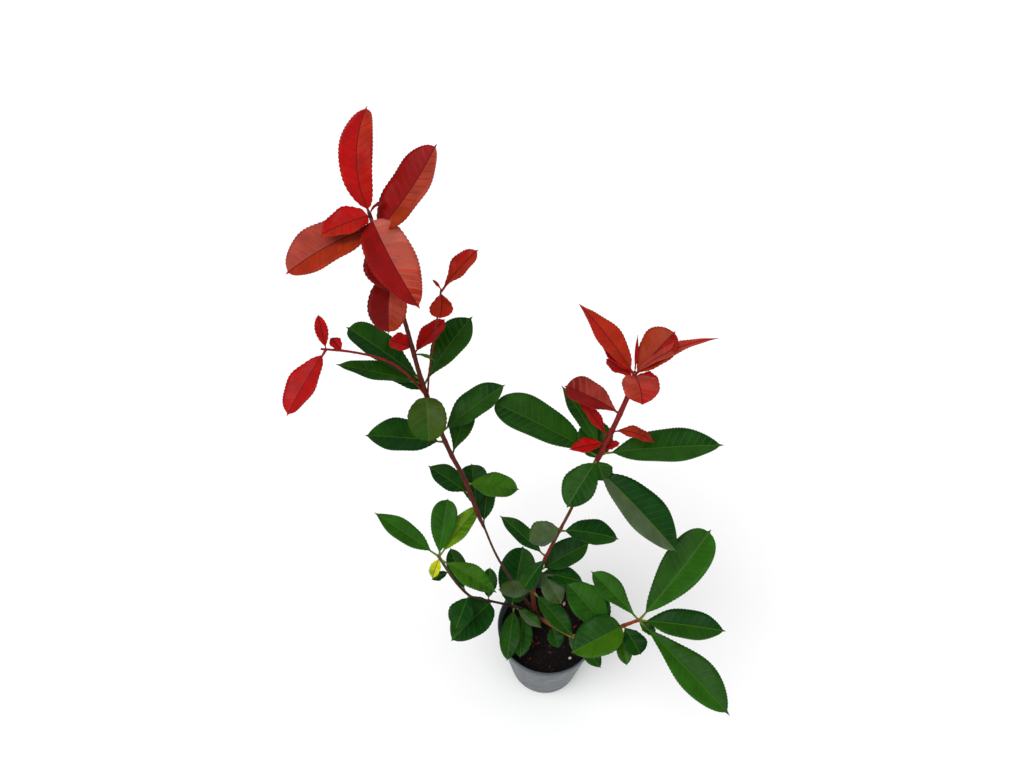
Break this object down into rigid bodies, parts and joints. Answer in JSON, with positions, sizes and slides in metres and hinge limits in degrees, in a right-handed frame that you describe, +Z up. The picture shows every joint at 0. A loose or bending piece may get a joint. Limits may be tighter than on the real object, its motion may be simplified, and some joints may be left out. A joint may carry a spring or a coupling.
{
  "type": "potted carre rouge photinia",
  "caption": "Young evergreen shrub with glossy green leaves and red new shoots, in a round grey nursery pot.",
  "frame": {"origin": "centre of the pot's flat underside", "axes": "+Z up along the pot's axis, +X to the right and -Y to the front as pictured"},
  "size_m": [0.2986, 0.2388, 0.533],
  "materials": {
    "pot_plastic": "smooth grey-blue moulded plastic, slightly satin",
    "potting_soil": "dark moist crumbly compost with bark chips",
    "bark": "thin red-brown young bark",
    "green_foliage": "glossy leathery leaves, deep to fresh green",
    "red_foliage": "glossy new leaves, scarlet to bronze red"
  },
  "bodies": {
    "root": {"pot": "pot_plastic", "root_ball": "potting_soil", "trunk": "bark", "right_bough": "bark", "left_bough": "bark", "low_left_bough": "bark", "low_right_bough": "bark", "left_low_foliage": "green_foliage", "left_middle_foliage": "green_foliage", "left_red_foliage": "red_foliage", "side_red_foliage": "red_foliage", "slim_red_foliage": "red_foliage", "low_left_foliage": "green_foliage", "low_left_tip_foliage": "green_foliage", "low_right_foliage": "green_foliage", "low_right_tip_foliage": "green_foliage", "right_low_foliage": "green_foliage", "right_node_foliage": "green_foliage", "right_red_foliage": "red_foliage"}
  },
  "joints": []
}
